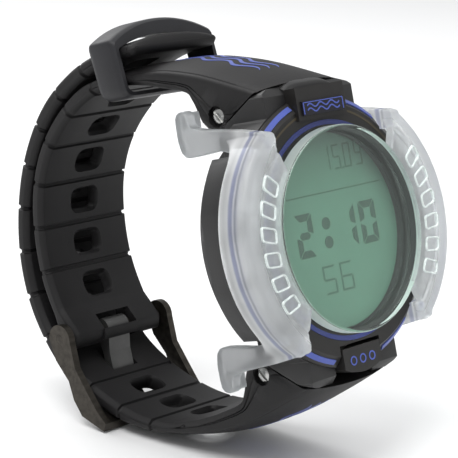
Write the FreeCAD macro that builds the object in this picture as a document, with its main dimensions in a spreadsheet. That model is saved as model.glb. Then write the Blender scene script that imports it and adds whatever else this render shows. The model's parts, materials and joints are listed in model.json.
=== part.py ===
import FreeCAD, Part

import math
import os

from FreeCAD import Placement, Rotation, Vector

# Wrist-worn dive computer. Each piece is drawn in the watch's own axes: X runs from 9 to 3 o'clock,
# Y is the depth behind the front face of the screen protector, and Z points to 12 o'clock.
# At the end the whole watch is leaned back and stood on its strap, with the origin below its middle.

DIMENSIONS = {
    # screen protector
    "disc_radius": 19.0,
    "disc_thick": 3.0,
    "wing_front": 0.8,
    "wing_thick": 2.0,
    "wing_back": 7.2,
    "wing_reach": 28.2,
    "wing_wall": 1.7,
    "arm_inner": 16.1,
    "arm_outer": 18.5,
    # case
    "case_radius": 25.3,
    "case_half_width": 24.3,
    "case_front": 5.6,
    "case_shoulder": 14.0,
    "case_rear": 17.4,
    "rear_radius": 21.6,
    "cavity_radius": 19.0,
    "lens_bore": 19.8,
    "display_bore": 18.4,
    "corner_across": 15.7,
    "corner_up": 16.6,
    "lug_half_width": 12.1,
    "barrel_half_width": 6.8,
    "barrel_radius": 2.9,
    "pin_depth": 18.2,
    "pin_up": 24.1,
    # bezel and its trim
    "bezel_front": 3.6,
    "bezel_window": 19.0,
    "bezel_seat": 20.3,
    "bezel_seat_depth": 4.0,
    "bezel_flat": 23.2,
    "bezel_rim": 25.1,
    "bezel_rim_depth": 5.2,
    "stripe_angle": 21.0,
    "stripe_proud": 0.2,
    "badge_width": 11.2,
    "badge_height": 2.6,
    "badge_thick": 0.4,
    # window and display
    "lens_radius": 19.6,
    "lens_thick": 2.0,
    "lens_front": 4.4,
    "gasket_inner": 18.6,
    "gasket_thick": 0.6,
    "ring_inner": 19.05,
    "ring_outer": 20.25,
    "ring_thick": 0.45,
    "lcd_radius": 18.1,
    "lcd_thick": 1.6,
    "backlight_thick": 0.8,
    "board_radius": 18.2,
    "board_thick": 1.0,
    "board_front": 11.3,
    # battery and back
    "cell_radius": 12.25,
    "cell_thick": 3.0,
    "cell_front": 13.0,
    "back_radius": 20.2,
    "back_front": 15.2,
    "back_hole": 12.4,
    "hatch_bore": 13.6,
    "hatch_radius": 13.35,
    "hatch_thick": 1.2,
    "hatch_front": 17.0,
    "oring_radius": 13.0,
    "oring_wire": 0.4,
    "screw_circle": 17.6,
    "screw_radius": 1.1,
    # button
    "button_half_width": 5.2,
    "button_gap": 0.3,
    "button_inner": 21.4,
    "button_outer": 26.3,
    "button_front": 3.4,
    "button_back": 10.4,
    "button_travel": 0.5,
    "stem_radius": 0.9,
    "stem_depth": 8.7,
    "stem_end": 19.0,
    # strap
    "strap_half_width": 12.0,
    "short_thick": 3.3,
    "long_thick": 3.1,
    "hole_pitch": 8.8,
    "hole_across": 6.8,
    "hole_along": 4.6,
    "screw_head": 1.55,
    "pin_radius": 0.9,
    # buckle and keeper
    "heel_depth": 70.2,
    "heel_up": -14.5,
    "heel_radius": 2.7,
    "arm_side": 14.5,
    "arm_gauge": 1.5,
    "bar_length": 6.0,
    "bar_thick": 1.8,
    "tongue_half_width": 2.9,
    "tongue_thick": 1.8,
    "keeper_half_width": 14.5,
    "keeper_wall": 1.2,
    # stance
    "lean_back": 13.7,
}

doc = FreeCAD.newDocument("DiveComputer")
sheet = doc.addObject("Spreadsheet::Sheet", "Sheet")
for row, (alias, value) in enumerate(DIMENSIONS.items(), start=1):
    sheet.set(f"A{row}", alias)
    sheet.set(f"B{row}", str(value))
    sheet.setAlias(f"B{row}", alias)
doc.recompute()

AXIS_Y = Vector(0, 1, 0)
FACING_BACK = Rotation(Vector(1, 0, 0), -90)    # turns a primitive's own Z to point along +Y
nodes = []


def dim(alias):
    """The value of one driving dimension."""
    return float(sheet.get(alias))


def bind(thing, **cells):
    """Ties properties of an object to cells or formulas of the sheet."""
    for name, formula in cells.items():
        thing.setExpression(name, formula)
    return thing


def node(thing, label):
    """Names a finished sub-part and keeps it for the export."""
    thing.Label = label
    nodes.append(thing)
    return thing


# ---------------------------------------------------------------- primitives


def cylinder(name, radius, height, depth=0.0, across=0.0, up=0.0, rotation=FACING_BACK):
    """A Part cylinder whose axis runs back from (across, depth, up); radius and height are formulas."""
    made = doc.addObject("Part::Cylinder", name)
    bind(made, Radius=radius, Height=height)
    made.Placement = Placement(Vector(across, depth, up), rotation)
    return made


def box(name, corner, length, width, height):
    """A Part box from its lowest corner; length, width and height are formulas along X, Y and Z."""
    made = doc.addObject("Part::Box", name)
    bind(made, Length=length, Width=width, Height=height)
    made.Placement = Placement(Vector(*corner), Rotation())
    return made


def cut(name, base, *tools):
    """Base less each tool."""
    for number, tool in enumerate(tools):
        made = doc.addObject("Part::Cut", f"{name}_{number}")
        made.Base = base
        made.Tool = tool
        base = made
    return base


def fuse(name, *things):
    """One solid from several."""
    made = doc.addObject("Part::MultiFuse", name)
    made.Shapes = list(things)
    return made


def tube(name, outer, inner, height, depth, **where):
    """A ring with its axis along Y."""
    return cut(
        name,
        cylinder(f"{name}_outer", outer, height, depth, **where),
        cylinder(f"{name}_bore", inner, height, depth, **where),
    )


# ---------------------------------------------------------------- sketched bodies


def new_body(name):
    return doc.addObject("PartDesign::Body", name)


def plane_of(body, role):
    """One of the body's own origin planes, such as XZ_Plane."""
    return next(f for f in body.Origin.OriginFeatures if f.Role == role)


def smooth(points):
    """A smooth curve through points."""
    curve = Part.BSplineCurve()
    curve.interpolate(points)
    return curve


def sketch_on(body, role, outlines, offset=0.0):
    """A sketch on an origin plane, moved along its normal. An outline is a list of corner points,
    where a point may be ("arc", middle, end) or ("spline", points) for a round stretch. A hole is
    ("circle", centre, radius)."""
    sketch = body.newObject("Sketcher::SketchObject", f"{body.Name}_sketch")
    sketch.AttachmentSupport = [(plane_of(body, role), "")]
    sketch.MapMode = "FlatFace"
    sketch.AttachmentOffset = Placement(Vector(0, 0, offset), Rotation())
    for outline in outlines:
        if outline[0] == "circle":
            centre = Vector(*outline[1], 0)
            sketch.addGeometry(Part.Circle(centre, Vector(0, 0, 1), outline[2]), False)
            continue
        pen = Vector(*outline[0], 0)
        start = pen
        for point in outline[1:]:
            if point[0] == "arc":
                end = Vector(*point[2], 0)
                sketch.addGeometry(Part.Arc(pen, Vector(*point[1], 0), end), False)
            elif point[0] == "spline":
                through = [pen] + [Vector(*p, 0) for p in point[1]]
                end = through[-1]
                sketch.addGeometry(smooth(through), False)
            else:
                end = Vector(*point, 0)
                sketch.addGeometry(Part.LineSegment(pen, end), False)
            pen = end
        if pen.distanceToPoint(start) > 1e-6:
            sketch.addGeometry(Part.LineSegment(pen, start), False)
    return sketch


def feature(body, kind, sketch, **cells):
    """A pad, pocket, revolution or groove of a sketch, as the body's new tip."""
    made = body.newObject(f"PartDesign::{kind}", f"{body.Name}_{kind}")
    made.Profile = sketch
    bind(made, **cells)
    body.Tip = made
    return made


def pad_back(body, outlines, front, length):
    """Outlines in X and Z, padded towards the wrist from the depth front."""
    made = feature(body, "Pad", sketch_on(body, "XZ_Plane", outlines, -front), Length=length)
    made.Reversed = True
    return made


def pocket_back(body, outlines, front, length):
    """Outlines in X and Z, cut towards the wrist from the depth front."""
    return feature(body, "Pocket", sketch_on(body, "XZ_Plane", outlines, -front), Length=length)


def pad_across(body, outlines, length):
    """Outlines in Y and Z, padded evenly to both sides of the middle."""
    made = feature(body, "Pad", sketch_on(body, "YZ_Plane", outlines), Length=length)
    made.Midplane = True
    return made


def pocket_across(body, outlines, length):
    """Outlines in Y and Z, cut evenly to both sides of the middle."""
    made = feature(body, "Pocket", sketch_on(body, "YZ_Plane", outlines), Length=length)
    made.Midplane = True
    return made


def turned(body, kind, outline):
    """A revolution or groove about Y of an outline of (radius, depth) points."""
    sketch = sketch_on(body, "XY_Plane", [outline])
    made = feature(body, kind, sketch)
    made.ReferenceAxis = (sketch, ["V_Axis"])
    made.Angle = 360
    return made


def rectangle(x_low, x_high, y_low, y_high):
    return [(x_low, y_low), (x_high, y_low), (x_high, y_high), (x_low, y_high)]


def mirrored(outline, across=1, up=-1):
    """The same outline on the other side of an axis."""
    flipped = []
    for point in outline:
        if point[0] == "arc":
            flipped.append(("arc", *mirrored(point[1:], across, up)))
        elif point[0] == "spline":
            flipped.append(("spline", mirrored(point[1], across, up)))
        else:
            flipped.append((across * point[0], up * point[1]))
    return flipped


# ---------------------------------------------------------------- case


def case_outline():
    """The case seen from the front: round, flat at 3 and 9 o'clock, with a notch for each hook arm."""
    radius = dim("case_radius")
    side = dim("case_half_width")
    side_up = math.sqrt(radius**2 - side**2)
    notch_across = dim("corner_across")
    notch_up = dim("corner_up")
    wide = math.sqrt(radius**2 - notch_up**2)
    high = math.sqrt(radius**2 - notch_across**2)
    shoulder = (radius * math.cos(0.53), radius * math.sin(0.53))

    def quarter(right, top):
        """From the side flat round to the arc at 12 or 6 o'clock."""
        return [
            (right * side, top * side_up),
            ("arc", (right * shoulder[0], top * shoulder[1]), (right * wide, top * notch_up)),
            (right * notch_across, top * notch_up),
            (right * notch_across, top * high),
        ]

    def back_down(right, top):
        """The same corner walked the other way."""
        return [
            (right * notch_across, top * notch_up),
            (right * wide, top * notch_up),
            ("arc", (right * shoulder[0], top * shoulder[1]), (right * side, top * side_up)),
        ]

    return (
        quarter(1, 1)
        + [("arc", (0, radius), (-notch_across, high))]
        + back_down(-1, 1)
        + quarter(-1, -1)
        + [("arc", (0, -radius), (notch_across, -high))]
        + back_down(1, -1)
    )


def on_circle(centre, radius, degrees):
    angle = math.radians(degrees)
    return (centre[0] + radius * math.cos(angle), centre[1] + radius * math.sin(angle))


LUG = [(5.6, 17.0), (5.6, 25.9), (6.9, 27.4), (16.3, 22.2), (17.0, 20.8), (17.0, 17.0)]
BOSS_TURNS = (45, 135, 225, 315)


def pin_place():
    return (dim("pin_depth"), dim("pin_up"))


def barrel_outline():
    """The case's knuckle round a strap pin, with the web that carries it, as depth and height."""
    pin = pin_place()
    radius = dim("barrel_radius")
    return [
        (12.0, 19.0),
        (12.0, pin[1] + radius * 0.4),
        on_circle(pin, radius, 105),
        ("arc", on_circle(pin, radius, 15), on_circle(pin, radius, -75)),
        (17.0, 19.0),
    ]


def make_case():
    body = new_body("case_solid")
    pad_back(body, [case_outline()], dim("case_front"), "Sheet.case_shoulder - Sheet.case_front")
    rear = ("circle", (0, 0), dim("rear_radius"))
    pad_back(body, [rear], dim("case_shoulder"), "Sheet.case_rear - Sheet.case_shoulder")
    for outline in (LUG, mirrored(LUG)):
        pad_across(body, [outline], "2 * Sheet.lug_half_width")
    seat = [(6.9, 27.4), (16.3, 22.2), (20.0, 22.2), (20.0, 30.0), (6.9, 30.0)]
    pocket_across(body, [seat, mirrored(seat)], "2 * Sheet.lug_half_width + 0.6")
    for outline in (barrel_outline(), mirrored(barrel_outline())):
        pad_across(body, [outline], "2 * Sheet.barrel_half_width")
    cavity = [
        (0, 5.0),
        (dim("lens_bore"), 5.0),
        (dim("lens_bore"), 7.15),
        (dim("display_bore"), 7.15),
        (dim("display_bore"), 9.5),
        (dim("cavity_radius"), 9.5),
        (dim("cavity_radius"), 15.1),
        (dim("back_radius") + 0.1, 15.1),
        (dim("back_radius") + 0.1, 18.0),
        (0, 18.0),
    ]
    turned(body, "Groove", cavity)
    bosses = [("circle", on_circle((0, 0), dim("screw_circle"), a), 2.0) for a in BOSS_TURNS]
    pad_back(body, bosses, 12.6, "2.5")
    holes = [("circle", on_circle((0, 0), dim("screw_circle"), a), 0.65) for a in BOSS_TURNS]
    pocket_back(body, holes, 12.6, "3")
    wide = dim("button_half_width") + dim("button_gap")
    notch_top = -(dim("button_inner") - dim("button_travel") - 0.2)
    pocket_back(body, [rectangle(-wide, wide, -30, notch_top)], 5.0,
                "Sheet.button_back + Sheet.button_gap - 5")
    ears = rectangle(-wide - 1.0, wide + 1.0, -24.0, -21.2)
    pocket_back(body, [ears], 6.1, "3.2")
    pins = [("circle", (dim("pin_depth"), s * dim("pin_up")), dim("pin_radius") + 0.05) for s in (1, -1)]
    pocket_across(body, pins, "40")
    stem_hole = cylinder("stem_hole", "Sheet.stem_radius + 0.06", "6", dim("stem_depth"),
                         0, -22, Rotation())
    seal_groove = cylinder("seal_groove", "1.5", "0.62", dim("stem_depth"), 0, -19.91, Rotation())
    return node(cut("case", body, stem_hole, seal_groove), "case_body")


def make_bezel():
    body = new_body("bezel")
    front = dim("bezel_front")
    profile = [
        (dim("bezel_window"), dim("bezel_seat_depth")),
        (dim("bezel_seat"), dim("bezel_seat_depth")),
        (dim("bezel_seat"), front),
        (dim("bezel_flat"), front),
        (dim("bezel_rim"), dim("bezel_rim_depth")),
        (dim("bezel_rim"), 5.55),
        (dim("lens_bore"), 5.55),
        (dim("lens_bore"), 4.35),
        (dim("bezel_window"), 4.35),
    ]
    turned(body, "Revolution", profile)
    pad_back(body, [rectangle(-6.6, 6.6, 20.7, 26.7)], 2.9, "5.55 - 2.9")
    side = dim("case_half_width")
    across = dim("corner_across")
    up = dim("corner_up")
    wide = dim("button_half_width") + dim("button_gap")
    gaps = [
        rectangle(side, 30, 0.1 - up, up - 0.1),
        rectangle(-30, -side, 0.1 - up, up - 0.1),
        rectangle(-wide, wide, -30, -(dim("button_inner") - dim("button_travel") - 0.2)),
    ]
    gaps += [rectangle(*x, *z) for x in ((across, 30), (-30, -across)) for z in ((up, 30), (-30, -up))]
    pocket_back(body, gaps, 2.0, "4")
    return node(body, "bezel_ring")


def make_stripes():
    """Four blue arcs that stand a little proud of the bezel's sloping edge."""
    flat = dim("bezel_flat")
    front = dim("bezel_front")
    slope = math.atan2(dim("bezel_rim_depth") - front, dim("bezel_rim") - flat)
    proud = dim("stripe_proud")

    def on_slope(share, lift):
        run = (dim("bezel_rim") - flat) * share
        return Vector(
            flat + run + lift * math.sin(slope),
            front + run * math.tan(slope) - lift * math.cos(slope),
            0,
        )

    corners = [on_slope(0.32, 0), on_slope(0.74, 0), on_slope(0.74, proud), on_slope(0.32, proud)]
    face = Part.Face(Part.makePolygon(corners + corners[:1]))
    arcs = []
    for start in (52, 180 - 52 - dim("stripe_angle"), 180 + 53, 360 - 53 - dim("stripe_angle")):
        arc = face.revolve(Vector(), AXIS_Y, -dim("stripe_angle"))
        arc.rotate(Vector(), AXIS_Y, -start)
        arcs.append(arc)
    made = doc.addObject("Part::Feature", "stripes")
    made.Shape = Part.makeCompound(arcs)
    return node(made, "accent_stripes")


def make_badge():
    body = new_body("badge")
    half = dim("badge_width") / 2
    middle = 22.8
    rise = dim("badge_height") / 2
    pad_back(body, [rectangle(-half, half, middle - rise, middle + rise)],
             2.9 - dim("badge_thick"), "Sheet.badge_thick")
    return node(body, "badge_plate")


def make_window():
    node(cylinder("lens", "Sheet.lens_radius", "Sheet.lens_thick", dim("lens_front")), "window_lens")
    gasket = tube("gasket", "Sheet.lens_radius", "Sheet.gasket_inner", "Sheet.gasket_thick", 6.48)
    node(gasket, "lens_gasket")
    seat = dim("bezel_seat_depth") - dim("ring_thick") - 0.02
    ring = tube("ring", "Sheet.ring_outer", "Sheet.ring_inner", "Sheet.ring_thick", seat)
    node(ring, "display_ring")
    node(cylinder("lcd", "Sheet.lcd_radius", "Sheet.lcd_thick", 7.7), "lcd_panel")
    node(cylinder("backlight", "13.8", "Sheet.backlight_thick", 9.4), "backlight_plate")
    strips = doc.addObject("Part::Compound", "strips")
    strips.Links = [
        box("strip_top", (-9.5, 9.4, 14.2), "19", "1.8", "1.3"),
        box("strip_low", (-9.5, 9.4, -15.5), "19", "1.8", "1.3"),
    ]
    node(strips, "lcd_connectors")


def make_electronics():
    board = cut(
        "board",
        cylinder("board_disc", "Sheet.board_radius", "Sheet.board_thick", dim("board_front")),
        cylinder("board_notch", "1.2", "3", dim("board_front") - 1, 18.2, 0),
    )
    node(board, "circuit_board")
    node(cylinder("piezo", "5.5", "0.8", 10.4, 0, 7.5), "buzzer")
    node(cylinder("sensor", "1.8", "2.4", 12.4, -14.6, 0), "pressure_sensor")
    leaf = box("leaf", (-8, 12.4, -2), "16", "0.4", "4")
    node(leaf, "battery_contact")
    node(cylinder("cell", "Sheet.cell_radius", "Sheet.cell_thick", dim("cell_front")), "coin_cell")


def make_back():
    """The back cover with its battery opening, four screws, two wet contacts and the round hatch."""
    front = dim("back_front")
    thick = "Sheet.case_rear - Sheet.back_front"
    spots = [on_circle((0, 0), dim("screw_circle"), a) for a in BOSS_TURNS]
    contacts = [(6.5, 15.6), (-6.5, 15.6)]
    cutters = [
        cylinder("back_bore", "Sheet.back_hole", "5", front - 1),
        cylinder("back_seat", "Sheet.hatch_bore", "5", 16.1),
        cylinder("port", "0.6", "5", front - 1, -14.6, 0),
    ]
    cutters += [cylinder(f"way_{i}", "0.7", "5", front - 1, x, z) for i, (x, z) in enumerate(spots)]
    cutters += [cylinder(f"sink_{i}", "1.25", "2", 16.6, x, z) for i, (x, z) in enumerate(spots)]
    cutters += [cylinder(f"well_{i}", "0.95", "5", front - 1, x, z) for i, (x, z) in enumerate(contacts)]
    plate = cut("back", cylinder("back_disc", "Sheet.back_radius", thick, front), *cutters)
    node(plate, "case_back")

    screws = doc.addObject("Part::Compound", "back_screws")
    screws.Links = [
        cut(
            f"back_screw_{i}",
            fuse(
                f"screw_body_{i}",
                cylinder(f"screw_head_{i}", "Sheet.screw_radius", "0.75", 16.62, x, z),
                cylinder(f"screw_shank_{i}", "0.6", "3.6", 13.1, x, z),
            ),
            box(f"screw_slot_{i}", (x - 1.5, 17.05, z - 0.17), "3", "1", "0.34"),
        )
        for i, (x, z) in enumerate(spots)
    ]
    node(screws, "back_screws")

    studs = doc.addObject("Part::Compound", "studs")
    studs.Links = [cylinder(f"stud_{i}", "0.9", "2.5", 15.3, x, z) for i, (x, z) in enumerate(contacts)]
    node(studs, "water_contacts")

    hatch = cut(
        "hatch",
        cylinder("hatch_disc", "Sheet.hatch_radius", "Sheet.hatch_thick", dim("hatch_front")),
        box("coin_slot", (-8, 17.5, -0.8), "16", "2", "1.6"),
    )
    node(hatch, "battery_hatch")
    seal = doc.addObject("Part::Torus", "hatch_seal")
    bind(seal, Radius1="Sheet.oring_radius", Radius2="Sheet.oring_wire")
    seal.Placement = Placement(Vector(0, 16.55, 0), FACING_BACK)
    node(seal, "hatch_o_ring")


# ---------------------------------------------------------------- button


def make_button():
    """The push button at 6 o'clock: cap with two stop ears, stem, return spring and seal."""
    body = new_body("cap")
    half = dim("button_half_width")
    inner = dim("button_inner")
    outer = dim("button_outer")
    front = dim("button_front")
    depth = dim("stem_depth")
    face = [
        (-half, -inner),
        (half, -inner),
        (half, 1.2 - outer),
        ("arc", (0, -outer), (-half, 1.2 - outer)),
    ]
    pad_back(body, [face], front, "Sheet.button_back - Sheet.button_front")
    pad_back(body, [rectangle(-half - 0.8, half + 0.8, -23.7, -22.1)], 6.4, "2.6")
    slant = [(7.6, -27.0), (7.6, -26.3), (10.5, -24.9), (10.5, -27.0)]
    pocket_across(body, [slant], "20")
    well = cylinder("cap_well", "2", "5", depth, 0, -24.6, Rotation())
    node(cut("cap_cut", body, well), "button_cap")
    stem = cylinder("stem", "Sheet.stem_radius", "24.6 - Sheet.stem_end", depth, 0, -24.6, Rotation())
    node(stem, "button_stem")

    wire = 0.22
    turns = 4.5
    length = 3.7
    helix = Part.makeLongHelix(length / turns - 0.06, length - 2 * wire - 0.1, 1.5)
    ring = Part.Wire([Part.Circle(Vector(1.5, 0, 0), AXIS_Y, wire).toShape()])
    coil = Part.Wire(helix.Edges).makePipeShell([ring], True, True)
    coil.Placement = Placement(Vector(0, depth, -24.6 + wire + 0.08), Rotation())
    made = doc.addObject("Part::Feature", "coil")
    made.Shape = coil
    node(made, "button_spring")

    seal = doc.addObject("Part::Torus", "stem_seal")
    seal.Radius1 = 1.2
    seal.Radius2 = 0.27
    seal.Placement = Placement(Vector(0, depth, -19.6), Rotation())
    node(seal, "button_o_ring")


# ---------------------------------------------------------------- screen protector

ARM = [
    (0.9, 17.3),
    (0.9, 19.9),
    (17.3, 23.5),
    (17.9, 25.6),
    (18.7, 26.2),
    (21.6, 26.0),
    (22.5, 25.0),
    (22.6, 21.0),
    (22.1, 18.3),
    (21.0, 17.3),
    (17.9, 17.4),
    (11.7, 17.9),
    (9.0, 17.3),
]
HOOK_LIP = [(18.3, 22.6), (18.3, 25.9), (21.6, 25.6), (22.2, 24.8), (22.2, 22.6)]


def wing_outline(reach):
    """A side wing from the front, from the disc out to an arc through its middle and two corners."""
    corner = (17.7, 20.3)
    inset = dim("wing_reach") - reach
    end = (corner[0] - inset * 0.6, corner[1] - inset * 0.8)
    return [
        (14.8, 12.7),
        end,
        ("arc", (reach, 0), (end[0], -end[1])),
        (14.8, -12.7),
        ("arc", (dim("disc_radius") - 0.4, 0), (14.8, 12.7)),
    ]


def make_protector():
    body = new_body("shield")
    for side in (1, -1):
        wing = mirrored(wing_outline(dim("wing_reach")), side, 1)
        pad_back(body, [wing], dim("wing_front"), "Sheet.wing_thick")
    pad_back(body, [("circle", (0, 0), dim("disc_radius"))], 0, "Sheet.disc_thick")
    for side in (1, -1):
        outer = wing_outline(dim("wing_reach"))
        inner = wing_outline(dim("wing_reach") - dim("wing_wall"))
        wall = [outer[1], outer[2], inner[2][2], ("arc", inner[2][1], inner[1])]
        pad_back(body, [mirrored(wall, side, 1)], dim("wing_front"), "Sheet.wing_back - Sheet.wing_front")
    for side in (1, -1):
        for up in (1, -1):
            arm = feature(body, "Pad", sketch_on(body, "YZ_Plane", [mirrored(ARM, 1, up)],
                          side * dim("arm_inner")), Length="Sheet.arm_outer - Sheet.arm_inner")
            arm.Reversed = side < 0
            lip = feature(body, "Pad", sketch_on(body, "YZ_Plane", [mirrored(HOOK_LIP, 1, up)],
                          side * (dim("arm_inner") + 0.2)), Length="3.1")
            lip.Reversed = side > 0
    return node(body, "screen_protector")


# ---------------------------------------------------------------- straps

# Both straps are drawn from the side, as depth and height, along the face that touches the wrist.
LUG_END = [(6.8, 27.8), (9.4, 28.9), (15.2, 31.1), (20.0, 32.8), (25.0, 34.2), (31.0, 35.4)]
SEAM = [(20.6, 21.2), (17.6, 21.3), (16.6, 22.4)]
SHORT_PATH = [
    (27.5, 30.1),
    (31.5, 31.0),
    (35.0, 32.0),
    (39.0, 32.7),
    (43.0, 33.0),
    (48.0, 32.7),
    (55.0, 30.7),
    (60.5, 27.6),
    (65.5, 23.4),
    (69.2, 18.4),
    (71.5, 13.0),
    (72.7, 7.0),
    (73.0, 1.5),
    (72.4, -4.0),
    (71.0, -9.0),
]
LONG_PATH = [
    (27.5, -30.1),
    (33.0, -31.5),
    (38.0, -32.4),
    (45.0, -32.8),
    (53.7, -31.0),
    (61.6, -27.4),
    (69.0, -22.2),
    (72.9, -18.1),
    (75.5, -13.6),
    (77.5, -8.3),
    (78.5, -2.0),
    (78.1, 5.0),
    (76.3, 12.0),
    (73.3, 18.8),
    (68.9, 25.1),
    (62.9, 30.7),
    (55.0, 34.7),
    (48.0, 36.5),
    (42.0, 36.95),
    (37.0, 36.95),
]


def curve_of(path):
    return smooth([Vector(*p, 0) for p in path])


def at_length(path, length):
    """The point and unit direction after a length along the curve through path."""
    curve = curve_of(path)
    where = curve.parameterAtDistance(length, curve.FirstParameter)
    return curve.value(where), curve.tangent(where)[0]


def outside(path, gap, start):
    """Points a gap outside the curve through path, from its point numbered start on. The outer
    side is the one away from the wrist, to the left of a path that runs from the case at 12."""
    curve = curve_of(path)
    side = 1 if path[0][1] > 0 else -1
    offset = []
    for x, y in path[start:]:
        along = curve.tangent(curve.parameter(Vector(x, y, 0)))[0]
        offset.append((x - side * along.y * gap, y + side * along.x * gap))
    return offset


def slot_tool(name, path, length, across, along):
    """A rounded slot through a strap, a length along its path and square to it."""
    middle, ahead = at_length(path, length)
    radius = 0.36 * min(across, along)
    half_x = across / 2 - radius
    half_y = along / 2 - radius
    wire = [
        Part.LineSegment(Vector(-half_x, -half_y - radius, 0), Vector(half_x, -half_y - radius, 0)),
        Part.LineSegment(Vector(half_x + radius, -half_y, 0), Vector(half_x + radius, half_y, 0)),
        Part.LineSegment(Vector(half_x, half_y + radius, 0), Vector(-half_x, half_y + radius, 0)),
        Part.LineSegment(Vector(-half_x - radius, half_y, 0), Vector(-half_x - radius, -half_y, 0)),
    ]
    turn = Vector(0, 0, 1)
    for x, y, first in ((half_x, -half_y, -90), (half_x, half_y, 0), (-half_x, half_y, 90),
                        (-half_x, -half_y, 180)):
        ring = Part.Circle(Vector(x, y, 0), turn, radius)
        wire.append(Part.Arc(ring, math.radians(first), math.radians(first + 90)))
    face = Part.Face(Part.Wire(Part.__sortEdges__([piece.toShape() for piece in wire])))
    face.translate(Vector(0, 0, -6))
    tool = doc.addObject("Part::Feature", name)
    tool.Shape = face.extrude(Vector(0, 0, 12))
    forward = Vector(0, ahead.x, ahead.y)
    outward = Vector(1, 0, 0).cross(forward)
    turned_to = Rotation(Vector(1, 0, 0), forward, outward, "XYZ")
    tool.Placement = Placement(Vector(0, middle.x, middle.y), turned_to)
    return tool


def lug_relief():
    """Room in a strap's end for the case's knuckle."""
    pin = pin_place()
    radius = dim("barrel_radius") + 0.3
    return [
        (6.0, 18.0),
        (6.0, 27.3),
        (11.5, 25.9),
        on_circle(pin, radius, 105),
        ("arc", on_circle(pin, radius, 15), on_circle(pin, radius, -75)),
        (19.0, 18.0),
    ]


def finish_lug_end(body, name, up):
    """Knuckle room, pin bore and screw pockets at a strap's end."""
    pocket_across(body, [mirrored(lug_relief(), 1, up)], "2 * Sheet.barrel_half_width + 0.7")
    pin = (dim("pin_depth"), up * dim("pin_up"))
    pocket_across(body, [("circle", pin, dim("pin_radius") + 0.02)], "2 * Sheet.strap_half_width + 2")
    sideways = Rotation(Vector(0, 1, 0), 90)
    return [
        cylinder(f"{name}_pocket_{side}", "2", "1.2", pin[0], x, pin[1], sideways)
        for side, x in (("left", -dim("strap_half_width") - 0.2), ("right", dim("strap_half_width") - 1.0))
    ]


def make_short_strap():
    """The 12 o'clock strap, which ends in the knuckle that carries the buckle."""
    heel = (dim("heel_depth"), dim("heel_up"))
    radius = dim("heel_radius")
    outer = outside(SHORT_PATH, dim("short_thick"), 3)
    outline = [
        LUG_END[0],
        ("spline", LUG_END[1:] + outer),
        on_circle(heel, radius, -12),
        ("arc", on_circle(heel, radius, -100), on_circle(heel, radius, 168)),
        SHORT_PATH[-1],
        ("spline", SHORT_PATH[-2::-1]),
        (25.2, 29.2),
        (23.9, 26.6),
        (22.8, 23.4),
        *SEAM,
    ]
    body = new_body("short_solid")
    pad_across(body, [outline], "2 * Sheet.strap_half_width")
    pockets = finish_lug_end(body, "short", 1)
    pocket_across(body, [("circle", heel, dim("pin_radius") + 0.02)], "2 * Sheet.strap_half_width + 2")
    tongue_room = rectangle(64, 76, -20, -11.2)
    pocket_across(body, [tongue_room], "2 * Sheet.tongue_half_width + 3.2")
    first = curve_of(SHORT_PATH).length() - 4.0 - 5 * dim("hole_pitch")
    size = (dim("hole_across"), dim("hole_along"))
    slots = [
        slot_tool(f"short_slot_{i}", SHORT_PATH, first + i * dim("hole_pitch"), *size) for i in range(6)
    ]
    return node(cut("short", body, *pockets, *slots), "strap_short")


TONGUE_HOLE = [(68.2, -17.0), (67.8, -29.4), (72.3, -28.6), (72.5, -17.0)]


def make_long_strap():
    """The 6 o'clock strap, which runs round outside the short one and ends in a rounded tip."""
    outer = outside(LONG_PATH, dim("long_thick"), 3)
    low_end = [(x, -y) for x, y in LUG_END]
    tip = LONG_PATH[-1]
    outline = [
        low_end[0],
        ("spline", low_end[1:] + outer),
        ("arc", (tip[0] - 1.5, tip[1] + dim("long_thick") / 2), tip),
        ("spline", LONG_PATH[-2::-1]),
        (25.2, -29.2),
        (23.9, -26.6),
        (22.8, -23.4),
        *mirrored(SEAM),
    ]
    body = new_body("long_solid")
    pad_across(body, [outline], "2 * Sheet.strap_half_width")
    pockets = finish_lug_end(body, "long", -1)
    pocket_across(body, [TONGUE_HOLE], "2 * Sheet.tongue_half_width + 0.9")
    tongue_at = curve_of(LONG_PATH).parameter(Vector(69.6, -21.7, 0))
    reach = curve_of(LONG_PATH).length(curve_of(LONG_PATH).FirstParameter, tongue_at)
    size = (dim("hole_across"), dim("hole_along"))
    steps = [-3, -2, -1] + [n - 0.33 for n in range(2, 13)]
    slots = [
        slot_tool(f"long_slot_{i}", LONG_PATH, reach + n * dim("hole_pitch"), *size)
        for i, n in enumerate(steps)
    ]
    return node(cut("long", body, *pockets, *slots), "strap_long")


def make_strap_hardware():
    """A pin through each strap's end, with a slotted screw head at both of its ends."""
    sideways = Rotation(Vector(0, 1, 0), 90)
    for label, up in (("strap_pin_top", 1), ("strap_pin_bottom", -1)):
        pin = cylinder(f"{label}_bar", "Sheet.pin_radius", "22", dim("pin_depth"), -11,
                       up * dim("pin_up"), sideways)
        node(pin, label)
    for label, up in (("screw_top", 1), ("screw_bottom", -1)):
        for side in (-1, 1):
            start = 11.02 if side > 0 else -11.82
            end = 11.5 if side > 0 else -12.5
            head = cylinder(f"{label}_{side}_head", "Sheet.screw_head", "0.8", dim("pin_depth"),
                            start, up * dim("pin_up"), sideways)
            slot = box(f"{label}_{side}_slot", (end, dim("pin_depth") - 2, up * dim("pin_up") - 0.2),
                       "1", "4", "0.4")
            node(cut(f"{label}_{side}", head, slot), f"{label}_{'right' if side > 0 else 'left'}")


# ---------------------------------------------------------------- buckle and keeper


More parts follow.
